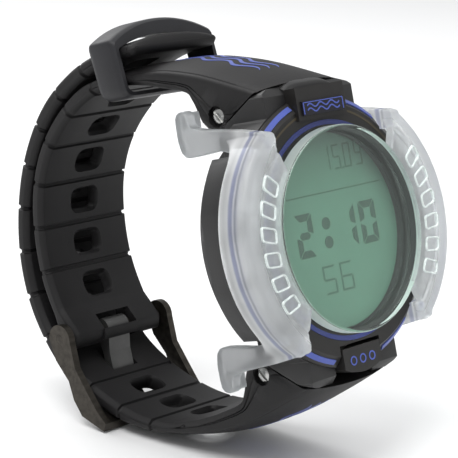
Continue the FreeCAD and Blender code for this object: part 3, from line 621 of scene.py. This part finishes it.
def strap_section(inner, outer, groove, edge_cut, lug=0.0):
    """A closed section of a strap between an inner and an outer point. Lug is 1 near the case, where
    the outer face is crowned between two creases and the sides are ribbed, and 0 along the rest."""
    inner = np.array(inner)
    outer = np.array(outer)
    thick = float(np.linalg.norm(outer - inner))
    out = (outer - inner) / thick
    half = HALF - 0.6 * groove
    chamfer = min(0.95, thick * 0.3)
    side_top = thick - edge_cut - min(1.1, thick * 0.36) - 1.2 * lug
    shape = [(0.0, groove), (half * 0.5, groove), (half - chamfer - 0.25, groove)]
    shape += [(half - chamfer, groove + 0.05), (half - 0.18, groove + chamfer - 0.14)]
    side_low = groove + chamfer + 0.1
    shape.append((half, side_low))
    for share, cut in ((0.12, 0.0), (0.18, 0.28), (0.24, 0.0), (0.34, 0.0), (0.40, 0.28), (0.46, 0.0)):
        shape.append((half - cut * lug, side_low + (side_top - side_low) * share))
    shape.append((half, side_top))
    edge = half - 1.1 + 0.35 * lug
    rim = thick - edge_cut - 1.2 * lug
    for i in range(1, 6):
        angle = math.radians(90 * i / 5)
        across = edge + (half - edge) * math.cos(angle)
        shape.append((across, side_top + (rim - side_top) * math.sin(angle)))
    shape += [(edge - 0.22, rim - 0.30 * lug), (edge - 0.50, rim + 0.16 * lug)]
    for share in (0.85, 0.7, 0.5, 0.25, 0.0):
        shape.append((edge * share, rim + BAND_RISE * lug * (1 - share**2.5)))
    ring = [(x, *(inner + out * t)) for x, t in shape]
    ring += [(-x, *(inner + out * t)) for x, t in shape[-2:0:-1]]
    return ring


def line_up(points, count):
    """Points spread evenly along a broken line."""
    points = np.array(points, float)
    along = np.concatenate([[0], np.cumsum(np.linalg.norm(np.diff(points, axis=0), axis=1))])
    where = np.linspace(0, along[-1], count)
    return np.stack([np.interp(where, along, points[:, k]) for k in (0, 1)], axis=1)


def strap_rings(path, thick, side, grooves, outer_grooves):
    """Sections from the case to the end of the path, and the line along the top of the raised band."""
    curve = Curve(path)
    begin = curve.nearest(path[3])
    ahead = curve.ahead(begin)
    join = np.array(path[3]) + np.array([-ahead[1], ahead[0]]) * side * thick
    inside = line_up([(d, side * h) for d, h in LUG_INSIDE] + path[:4], LUG_STEPS)
    outside = Curve([(d, side * h) for d, h in LUG_END] + [tuple(join)])
    rings = []
    crest = []
    for i in range(LUG_STEPS):
        share = i / LUG_STEPS
        upper = outside.at(outside.length * share)
        rings.append(strap_section(inside[i], upper, 0.0, 0.0, 1.0))
        crest.append(upper + (upper - inside[i]) / np.linalg.norm(upper - inside[i]) * 0.55)
    plain_count = int((curve.length - begin) / MARK_STEP) + 1
    marks = {round(begin + MARK_STEP * k, 4): (0.0, 0.0) for k in range(plain_count)}
    marks[round(curve.length, 4)] = (0.0, 0.0)
    for spot in grooves:
        for length in [m for m in marks if abs(m - spot) < 0.62 and m not in (begin, curve.length)]:
            marks.pop(length)
        for offset, depth in ((-0.52, 0.0), (-0.34, 0.42), (0.0, 0.55), (0.34, 0.42), (0.52, 0.0)):
            marks[round(spot + offset, 4)] = (depth, 0.55 * depth if outer_grooves else 0.0)
    for length in sorted(marks):
        depth, outer = marks[length]
        here = curve.at(length)
        ahead = curve.ahead(length)
        normal = np.array([-ahead[1], ahead[0]]) * side
        crown = max(0.0, 1 - (length - begin) / 14)
        if outer_grooves:
            crown = max(crown, TIP_CROWN * (1 - (curve.length - length) / 16))
        rings.append(strap_section(here, here + normal * thick, depth, outer, crown))
    return curve, rings, Curve(crest)


def strap_waves(name, crest, side):
    """Blue waves printed on a strap's raised band."""

    def on_band(x, length, lift):
        here = crest.at(length)
        ahead = crest.ahead(length)
        out = np.array([-ahead[1], ahead[0]]) * side
        return (x, *(here + out * (lift - BAND_RISE * (abs(x) / BAND_HALF) ** 2.5)))

    parts = []
    low = crest.length * 0.26
    high = crest.length * 0.94
    count = 90
    for shift in (-2.6, 0.0, 2.6):
        rings = []
        for i in range(count + 1):
            share = i / count
            middle = shift + 1.0 * math.sin(share * 6 * math.pi)
            length = low + (high - low) * share
            width = 0.42 * min(1.0, 8 * share, 8 * (1 - share)) + 0.06
            corners = ((-width, -0.3), (-width, 0.06), (width, 0.06), (width, -0.3))
            rings.append([on_band(middle + x, length, lift) for x, lift in corners])
        parts.append(skin(rings))
    obj = joined(name, parts)
    settled(obj, "case", BLUE)


def slot_cutter(curve, length, side, thick, across=6.8, along=4.6):
    """A rounded slot through a strap, opened out a little at both faces."""
    middle = curve.at(length)
    ahead = curve.ahead(length)
    out = np.array([-ahead[1], ahead[0]]) * side
    rings = []
    for height, grow in (
        (-3.0, 0.42), (-0.1, 0.42), (0.45, 0.0),
        (thick - 0.45, 0.0), (thick + 0.1, 0.42), (thick + 3.0, 0.42),
    ):
        wide = across / 2 + grow
        tall = along / 2 + grow
        outline = rounded([(-wide, -tall), (wide, -tall), (wide, tall), (-wide, tall)], 1.9 + grow, 6)
        ring = []
        for x, y in outline:
            spot = middle + ahead * y + out * height
            ring.append((x, spot[0], spot[1]))
        rings.append(ring)
    return skin(rings)


def disc_cutter(centre, radius, low, high, steps=36):
    """A round hole along x."""
    turns = [2 * math.pi * i / steps for i in range(steps)]
    outline = [(centre[0] + radius * math.cos(a), centre[1] + radius * math.sin(a)) for a in turns]
    return prism(outline, low, high)


def on_circle(centre, radius, degrees):
    """A point on a circle in a plane."""
    angle = math.radians(degrees)
    return (centre[0] + radius * math.cos(angle), centre[1] + radius * math.sin(angle))


PIN = (18.2, 24.1)  # depth and height of a strap's pin


def knuckle_room(side):
    """The room a strap leaves for the case's knuckle round the pin."""
    outline = [(6.0, 18.0), (6.0, 27.2), (11.5, 25.9)]
    outline += [on_circle(PIN, 3.2, a) for a in range(105, -76, -12)]
    outline += [(19.0, 18.0)]
    return prism([(d, side * h) for d, h in outline], -7.15, 7.15)


def screw_rooms(side):
    """The sinks for the two screw heads of a strap."""
    centre = (PIN[0], side * PIN[1])
    return [disc_cutter(centre, 2.0, low, low + 1.25) for low in (-12.25, 11.0)]


def carve(obj, slots, others):
    """Cuts the slots, which are clear of each other, in one go, and then each other room."""
    combine(obj, joined("slots", slots), "DIFFERENCE")
    for number, cutter in enumerate(others):
        combine(obj, joined(f"room_{number}", [cutter]), "DIFFERENCE")
    return obj


def make_short_strap():
    """The strap at 12 o'clock, which ends round the buckle's pin."""
    total = Curve(SHORT_PATH).length
    first = total - 4.0 - 5 * PITCH
    slots = [first + i * PITCH for i in range(6)]
    grooves = [s + PITCH / 2 for s in slots[:-1]] + [slots[0] - PITCH / 2]
    curve, rings, crest = strap_rings(SHORT_PATH, SHORT_THICK, 1, grooves, False)
    for turn in (0, 22, 44, 62, 76):
        inner = on_circle(HEEL, 2.7, 168 + turn)
        outer = on_circle(HEEL, 2.7, -12 - turn)
        rings.append(strap_section(inner, outer, 0.0, 0.0))
    obj = joined("strap_short_skin", [skin(rings)])
    tongue_room = prism([(63.5, -20), (77, -20), (77, -11.2), (63.5, -11.2)], -4.5, 4.5)
    cuts = [slot_cutter(curve, s, 1, SHORT_THICK) for s in slots]
    carve(obj, cuts, [knuckle_room(1), *screw_rooms(1), tongue_room])
    settled(obj, "case", RUBBER, 38)
    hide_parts("strap_short")
    strap_waves("strap_short_waves", crest, 1)

    lip = []
    for i in range(9):
        angle = 176 + 46 * i / 8
        near = on_circle(HEEL, 2.45, angle)
        far = on_circle(HEEL, 3.05, angle)
        lip.append([(-4.7, *near), (4.7, *near), (4.7, *far), (-4.7, *far)])
    obj = joined("strap_short_lip", [skin(lip)])
    settled(obj, "case", RUBBER, 38)


def make_long_strap():
    """The strap at 6 o'clock, which runs through the buckle and back under the keeper."""
    curve = Curve(LONG_PATH)
    reach = curve.nearest((69.6, -21.7))
    slots = [reach + n * PITCH for n in (-3, -2, -1)]
    slots += [reach + (n - 0.33) * PITCH for n in range(2, 12)]
    slots = [s for s in slots if s < curve.length - 7]
    grooves = [s - PITCH / 2 for s in slots if s - PITCH / 2 < curve.length - 3] + [reach - PITCH / 2]
    curve, rings, crest = strap_rings(LONG_PATH, LONG_THICK, -1, grooves, True)
    tip = curve.at(curve.length)
    ahead = curve.ahead(curve.length)
    out = np.array([-ahead[1], ahead[0]]) * -1
    for angle in (0, 25, 50, 70, 84):
        turn = math.radians(angle)
        middle = tip + out * (LONG_THICK / 2) + ahead * 1.5 * math.sin(turn)
        half = out * (LONG_THICK / 2) * math.cos(turn)
        ring = strap_section(middle - half, middle + half, 0, 0, TIP_CROWN * math.cos(turn))
        narrow = 0.86 + 0.13 * math.cos(turn)
        rings.append([(x * narrow, d, h) for x, d, h in ring])
    obj = joined("strap_long_skin", [skin(rings)])
    tongue_hole = prism([(68.2, -17.0), (67.8, -29.4), (72.3, -28.6), (72.5, -17.0)], -3.35, 3.35)
    cuts = [slot_cutter(curve, s, -1, LONG_THICK) for s in slots]
    carve(obj, cuts, [knuckle_room(-1), *screw_rooms(-1), tongue_hole])
    settled(obj, "case", RUBBER, 38)
    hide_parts("strap_long")
    strap_waves("strap_long_waves", crest, -1)


make_short_strap()
make_long_strap()


def make_keeper():
    """The loop round both straps: an arched top, rounded corners and a slight lean."""

    def loop(width, low, shoulder, crown, corner, inset):
        line = [(-width, low), (width, low), (width, shoulder)]
        for x in np.linspace(0.9, -0.9, 19):
            line.append((width * x, shoulder + (crown - shoulder) * (1 - abs(x) ** 2.2)))
        line.append((-width, shoulder))
        ring = []
        for x, z in rounded(line, corner, 6):
            front = 39.2 + 1.6 * (z - 30.7) / 14.6 + inset
            back = 46.3 + 2.0 * (z - 30.3) / 14.6 - inset
            ring.append(((x, front, z), (x, back, z)))
        return ring

    outer = loop(13.6, 30.45, 41.6, 45.0, 2.4, 0.55)
    swell = loop(13.8, 30.3, 41.8, 45.2, 2.4, 1.3)
    flush = loop(13.25, 30.8, 41.2, 44.6, 2.2, 0.0)
    inside = loop(12.45, 31.5, 40.1, 42.1, 1.6, 0.0)
    rings = [[p[0] for p in ring] for ring in (flush, outer, swell)]
    rings += [[p[1] for p in ring] for ring in (swell, outer, flush, inside)]
    rings.append([p[0] for p in inside])
    obj = joined("strap_keeper_loop", [skin(rings, closed=True)])
    settled(obj, "keeper", KEEPER_RUBBER, 40)
    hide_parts("strap_keeper")


make_keeper()


# ---------------------------------------------------------------- screen protector

ARM = [
    (0.5, 16.9), (0.5, 19.7), (8.0, 21.1), (16.4, 22.2), (18.4, 22.7), (19.2, 23.3), (19.6, 25.2),
    (20.2, 26.1), (21.6, 25.9), (22.4, 25.0), (22.6, 21.0), (22.1, 18.5), (21.0, 17.5), (17.9, 17.5),
    (12.5, 17.9), (10.0, 17.3), (8.6, 16.0),
]
HOOK_LIP = [(19.9, 22.6), (19.9, 25.8), (21.5, 25.6), (22.2, 24.8), (22.2, 22.6)]
WING_CENTRE = 3.33
WING_RADIUS = 24.87


def wing_rings(side, steps=60):
    """Sections of one wing from its lower end to its upper one: a plate, a crest and a wall whose
    back edge sweeps out into the arms."""
    top = math.atan2(20.3, 17.7 - WING_CENTRE)
    join = math.atan2(12.7, 14.8)
    rings = []
    for i in range(steps + 1):
        t = 2 * i / steps - 1
        crest = np.array([WING_CENTRE + WING_RADIUS * math.cos(top * t), WING_RADIUS * math.sin(top * t)])
        root = 18.93 * np.array([math.cos(join * t), math.sin(join * t)])
        span = float(np.linalg.norm(crest - root))
        ahead = (crest - root) / span
        sweep = max(0.0, (abs(t) - 0.66) / 0.34)
        back = 7.2 + 4.6 * sweep**2.4
        profile = [
            (0.0, 0.35), (span - 5.3, 0.35), (span - 4.8, 0.45), (span - 4.4, 0.9), (span - 4.0, 0.45),
            (span - 3.4, 0.4), (span - 1.5, 0.55), (span - 0.75, 0.78), (span - 0.25, 1.25), (span, 2.1),
            (span, back - 0.6), (span - 0.2, back - 0.15), (span - 0.9, back), (span - 1.5, back - 0.15),
            (span - 1.7, back - 0.6), (span - 1.75, 4.2), (span - 2.2, 2.9), (span - 3.2, 2.4), (0.0, 2.3),
        ]
        rings.append([(side * (root + ahead * r)[0], d, (root + ahead * r)[1]) for r, d in profile])
    return rings


def mark_loops(side):
    """Six raised, slanting outlines along the front of a wing."""
    loops = []
    for k in range(6):
        turn = math.radians((k - 2.5) * 11.2)
        out = Vector((math.cos(turn), math.sin(turn)))
        along = Vector((-out.y, out.x))
        spot = out * 22.3
        corners = [(-1.75, -1.55), (1.75, -0.95), (1.75, 1.55), (-1.75, 0.95)]
        line = rounded([tuple(spot + out * a + along * c) for a, c in corners], 0.7, 5)
        loops.append(ribbon([(side * x, z) for x, z in line], 0.34, 0.03, 0.6, True))
    return loops


def make_protector():
    """The clear disc, the two misty wings with their hooked arms, and the raised marks."""
    disc = [
        (0.002, 0.0), (0.1, 0.0), (18.35, 0.0), (18.5, 0.0), (18.82, 0.1), (19.0, 0.35), (19.0, 0.5),
        (19.0, 2.5), (19.0, 2.65), (18.82, 2.9), (18.5, 3.0), (18.35, 3.0), (0.1, 3.0), (0.002, 3.0),
    ]
    obj = joined("screen_protector_disc", [lathe(disc, 240)])
    settled(obj, "protector", CLEAR_DISC, 50)
    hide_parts("screen_protector")

    parts = []
    for side in (1, -1):
        parts.append(skin(wing_rings(side)))
        for up in (1, -1):
            arm = rounded([(d, up * h) for d, h in ARM], 1.0)
            lip = rounded([(d, up * h) for d, h in HOOK_LIP], 0.5)
            parts.append(prism(arm, side * 16.1, side * 18.5))
            parts.append(prism(lip, side * 14.2, side * 16.3))
    obj = joined("screen_protector_wings", parts)
    grid = obj.modifiers.new("moulded", "REMESH")
    grid.mode = "VOXEL"
    grid.voxel_size = 0.17
    soft = obj.modifiers.new("softened", "SMOOTH")
    soft.factor = 0.5
    soft.iterations = 5
    baked(obj)
    settled(obj, "protector", FROSTED, 180)
    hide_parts("screen_protector")

    obj = joined("screen_protector_marks", mark_loops(1) + mark_loops(-1))
    soften(obj, 0.12, 2, math.radians(50))
    baked(obj)
    settled(obj, "protector", MARK_PAINTED_HIGHLIGHT, 60)
    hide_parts("screen_protector")


make_protector()


# ---------------------------------------------------------------- display

LCD_FRONT = 7.7
INK = (LCD_FRONT - 0.05, LCD_FRONT - 0.01)  # from and to which depth the figures stand
SEGMENTS = {"0": "abcdef", "1": "bc", "2": "abged", "5": "afgcd", "6": "afgedc", "9": "abfgcd"}


def segment(kind, wide, tall, bold):
    """The corners of one segment of a digit whose middle is at the origin."""
    w = wide / 2
    h = tall / 2
    b = bold
    gap = bold * 0.12
    spots = {
        "a": [(-w + gap, h), (w - gap, h), (w - b, h - b), (-w + b, h - b)],
        "d": [(-w + gap, -h), (-w + b, -h + b), (w - b, -h + b), (w - gap, -h)],
        "g": [(-w + b * 0.6, 0), (-w + b, b / 2), (w - b, b / 2),
              (w - b * 0.6, 0), (w - b, -b / 2), (-w + b, -b / 2)],
        "f": [(-w, h - gap), (-w + b, h - b - gap), (-w + b, b * 0.55), (-w, gap)],
        "b": [(w, h - gap), (w, gap), (w - b, b * 0.55), (w - b, h - b - gap)],
        "e": [(-w, -gap), (-w + b, -b * 0.55), (-w + b, -h + b + gap), (-w, -h + gap)],
        "c": [(w, -gap), (w, -h + gap), (w - b, -h + b + gap), (w - b, -b * 0.55)],
    }
    return spots[kind]


def digit(sign, x, z, wide, tall, bold):
    """The segments of one figure whose middle is at (x, z)."""
    parts = []
    for kind in SEGMENTS[sign]:
        outline = [(x + a, z + c) for a, c in segment(kind, wide, tall, bold)]
        parts.append(prism(rounded(outline, bold * 0.18, 3), *INK, "y"))
    return parts


def make_display():
    """The display's face, the large figures and the small ones with their line."""
    face = [
        (0.0001, LCD_FRONT), (17.95, LCD_FRONT), (18.1, LCD_FRONT + 0.12), (18.1, 9.25), (0.0001, 9.3),
    ]
    obj = joined("lcd_panel_skin", [lathe(face, 160)])
    settled(obj, "case", DISPLAY)
    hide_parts("lcd_panel")

    bold = []
    for sign, x in (("2", -7.6), ("1", 4.2), ("0", 10.1)):
        bold += digit(sign, x, 0.1, 4.6, 8.0, 1.35)
    for z in (1.55, -1.95):
        bold.append(prism([on_circle((-1.6, z), 1.15, a) for a in range(0, 360, 12)], *INK, "y"))
    obj = joined("display_time", bold)
    settled(obj, "case", SEGMENT)

    thin = []
    for sign, x in (("5", -3.0), ("6", 1.7)):
        thin += digit(sign, x, -8.7, 3.4, 5.3, 0.42)
    for sign, x in (("1", 1.3), ("5", 4.2), ("0", 7.2), ("9", 10.3)):
        thin += digit(sign, x, 13.1, 2.0, 4.6, 0.34)
    thin.append(prism([(-14.6, 7.0), (15.0, 7.0), (15.0, 7.28), (-14.6, 7.28)], *INK, "y"))
    thin.append(prism([on_circle((5.7, 10.9), 0.26, a) for a in range(0, 360, 30)], *INK, "y"))
    obj = joined("display_small_figures", thin)
    settled(obj, "case", FAINT_SEGMENT)


make_display()


# ---------------------------------------------------------------- trim


def wave(x0, x1, z, height, waves, count=48):
    """Points along a wavy line from x0 to x1 at height z."""
    spots = []
    for i in range(count + 1):
        t = i / count
        spots.append((x0 + (x1 - x0) * t, z + height * math.sin(2 * math.pi * waves * t)))
    return spots


def make_case_details():
    """The tapered flanks behind the case's sides and the raised block above the badge."""
    root = 20.5
    profile = [
        (root, 13.8), (25.2, 13.8), (25.1, 14.2), (23.9, 15.6), (22.3, 16.9), (21.5, 17.3), (root, 17.3),
    ]
    flanks = []
    for side in (1, -1):
        rings = []
        for i in range(61):
            angle = -45 + 1.5 * i
            swell = math.sqrt(min(1.0, (45.5 - abs(angle)) / 9))
            ring = []
            for radius, depth in profile:
                x, z = on_circle((0, 0), root + (radius - root) * swell, angle)
                ring.append((side * min(24.25, x), depth, z))
            rings.append(ring)
        flanks.append(skin(rings))
    obj = joined("case_flanks", flanks)
    settled(obj, "case", CASE_PLASTIC, 30)

    rings = []
    for i in range(27):
        x = -6.5 + 13 * i / 26
        tall = 28.1 - 1.1 * (abs(x) / 6.5) ** 4
        outline = [
            (4.9, 25.4), (5.0, tall - 0.6), (6.3, tall), (8.6, tall + 0.75), (9.9, tall + 1.0),
            (10.6, tall + 0.3), (10.6, 25.4),
        ]
        rings.append([(x, *p) for p in rounded(outline, 0.7)])
    obj = joined("case_top_block", [skin(rings)])
    settled(obj, "case", CASE_PLASTIC, 45)


make_case_details()


def cad_copy(label, name):
    """A new object with a CAD node's mesh, in watch millimetres."""
    cad = frame["nodes"][label]
    obj = bpy.data.objects.new(name, cad.data.copy())
    bpy.context.scene.collection.objects.link(obj)
    obj.data.transform(WATCH.inverted() @ cad.matrix_world)
    return obj


def make_case_body():
    """The CAD body, with its strap lugs sloped off at the sides to meet the crowned straps."""
    obj = cad_copy("case_body", "case_body_skin")
    work = bmesh.new()
    work.from_mesh(obj.data)
    bmesh.ops.remove_doubles(work, verts=work.verts, dist=0.001)
    work.to_mesh(obj.data)
    work.free()
    wedges = []
    for up in (1, -1):
        for side in (1, -1):
            outline = [(7.6, 28.2), (11.7, 26.6), (12.7, 25.2), (13.6, 24.6), (13.6, 29.5), (7.6, 29.5)]
            wedges.append(prism([(side * x, up * z) for x, z in outline], 5.0, 30.0, "y"))
    combine(obj, joined("wedges", wedges), "DIFFERENCE")
    soften(obj, 0.35)
    baked(obj)
    settled(obj, "case", CASE_PLASTIC, 35)
    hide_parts("case_body")


make_case_body()


def make_screws():
    """Low domed heads with a slot, sunk in the sides of the straps' knuckles."""
    profile = [
        (0.001, 11.66), (0.7, 11.62), (1.2, 11.5), (1.42, 11.36), (1.5, 11.2), (1.5, 11.02), (0.001, 11.02),
    ]
    slant = math.radians(53)
    for name, side, up in (("screw_top_left", -1, 1), ("screw_top_right", 1, 1),
                           ("screw_bottom_left", -1, -1), ("screw_bottom_right", 1, -1)):
        rings = []
        for i in range(36):
            turn = math.radians(10 * i)
            rings.append([(side * d, PIN[0] + r * math.cos(turn), up * PIN[1] + r * math.sin(turn))
                          for r, d in profile])
        obj = joined(f"{name}_head", [skin(rings, closed=True)])
        along = np.array([math.cos(slant), math.sin(slant)])
        across = np.array([-along[1], along[0]])
        middle = np.array([PIN[0], up * PIN[1]])
        corners = ((-2, -0.24), (2, -0.24), (2, 0.24), (-2, 0.24))
        slot = [middle + along * a + across * c for a, c in corners]
        low, high = sorted((side * 11.25, side * 12.2))
        combine(obj, joined("slot", [prism(slot, low, high)]), "DIFFERENCE")
        settled(obj, "case", STEEL, 30)
        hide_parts(name)


make_screws()


def make_button_spring():
    """The CAD spring, copied and carried on the case as one rigid piece; it does not shorten when the
    button goes in.
    """
    obj = cad_copy("button_spring", "button_spring_coil")
    settled(obj, "case", STEEL, 30)
    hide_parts("button_spring")
    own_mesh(obj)


make_button_spring()


def make_trim():
    """The shade inside the blue ring, the bezel's line, the badge's waves and the button's rings."""
    # Painted shade: a dark ring in the seal colour stands for the shade inside the blue ring.
    shade = lathe([(18.05, 3.5), (19.35, 3.5), (19.35, 3.62), (18.05, 3.62)], 160)
    obj = joined("display_ring_shade", [shade])
    settled(obj, "case", SEAL_AND_SHADE)

    lines = []
    for start, sweep in ((18, 55), (107, 55)):
        lines.append(lathe([(22.1, 3.55), (22.1, 3.7), (22.5, 3.7), (22.5, 3.55)], 60, start, sweep))
    obj = joined("bezel_line", lines)
    settled(obj, "case", BRONZE)

    badge = [ribbon(wave(-4.4, 4.4, 22.8 + lift, 0.34, 3), 0.26, 2.44, 2.52) for lift in (-0.42, 0.42)]
    for x in (-5.35, 5.35):
        badge.append(ribbon([(x, 21.75), (x, 23.85)], 0.22, 2.44, 2.52))
    badge.append(ribbon([(-5.35, 23.85), (5.35, 23.85)], 0.16, 2.44, 2.52))
    obj = joined("badge_waves", badge)
    settled(obj, "case", BLUE)

    cap = [ribbon([on_circle((x, -23.9), 0.75, a) for a in range(0, 360, 20)], 0.26, 3.34, 3.45, True)
           for x in (-2.6, 0.0, 2.6)]
    obj = joined("button_rings", cap)
    settled(obj, "button", BLUE)


make_trim()


# ---------------------------------------------------------------- camera, floor and light


def look_at(obj, target):
    """Turns a camera or a lamp towards a point."""
    obj.rotation_euler = (Vector(target) - obj.location).to_track_quat("-Z", "Y").to_euler()


def make_stage():
    """The camera, the floor, a pale surround and three lamps."""
    azimuth = math.radians(-46.49)
    height = math.radians(12.62)
    aim = Vector((-0.01575, -0.02137, 0.04714))
    distance = 0.3623
    level = math.cos(height)
    back = Vector((math.sin(azimuth) * level, -math.cos(azimuth) * level, math.sin(height)))
    camera = bpy.data.objects.new("camera", bpy.data.cameras.new("camera"))
    camera.data.lens = 157.2
    camera.data.sensor_width = 36
    camera.data.clip_start = 0.01
    camera.location = aim + back * distance
    look_at(camera, aim)
    bpy.context.scene.collection.objects.link(camera)
    bpy.context.scene.camera = camera

    plate, nodes, links, shader = new_material("floor_paint")
    shader.inputs["Roughness"].default_value = 0.7
    grain = nodes.new("ShaderNodeTexNoise")
    grain.inputs["Scale"].default_value = 30
    toned(nodes, links, grain.outputs["Fac"], shader, 0.0, 1.0, (0.86, 0.86, 0.86), (0.89, 0.89, 0.89))
    size = 3.0
    low = -0.0002
    corners = [(-size, -size, low), (size, -size, low), (size, size, low), (-size, size, low)]
    floor = raw("floor", corners, [[0, 1, 2, 3]])
    floor.data.materials.append(plate)

    world = bpy.data.worlds.new("studio")
    world.use_nodes = True
    tree = world.node_tree
    sky = tree.nodes["Background"]
    sky.inputs["Color"].default_value = (0.98, 0.99, 1.0, 1)
    sky.inputs["Strength"].default_value = 0.62
    backdrop = tree.nodes.new("ShaderNodeBackground")
    backdrop.inputs["Color"].default_value = (1, 1, 1, 1)
    backdrop.inputs["Strength"].default_value = 1.0
    seen = tree.nodes.new("ShaderNodeLightPath").outputs["Is Camera Ray"]
    choice = blend(tree.nodes, tree.links, seen, sky.outputs["Background"], backdrop.outputs["Background"])
    tree.links.new(choice, tree.nodes["World Output"].inputs["Surface"])
    bpy.context.scene.world = world
    bpy.context.scene.view_settings.view_transform = "Standard"

    for name, where, power, width in (
        ("key", (-0.45, -0.15, 0.85), 5.5, 0.5),
        ("fill", (0.2, -0.62, 0.86), 2.7, 0.5),
        ("rear", (0.1, 0.7, 0.6), 4.0, 0.6),
    ):
        lamp = bpy.data.lights.new(name, "AREA")
        lamp.energy = power
        lamp.size = width
        light = bpy.data.objects.new(name, lamp)
        light.location = where
        look_at(light, (0, 0, 0.04))
        bpy.context.scene.collection.objects.link(light)


make_stage()
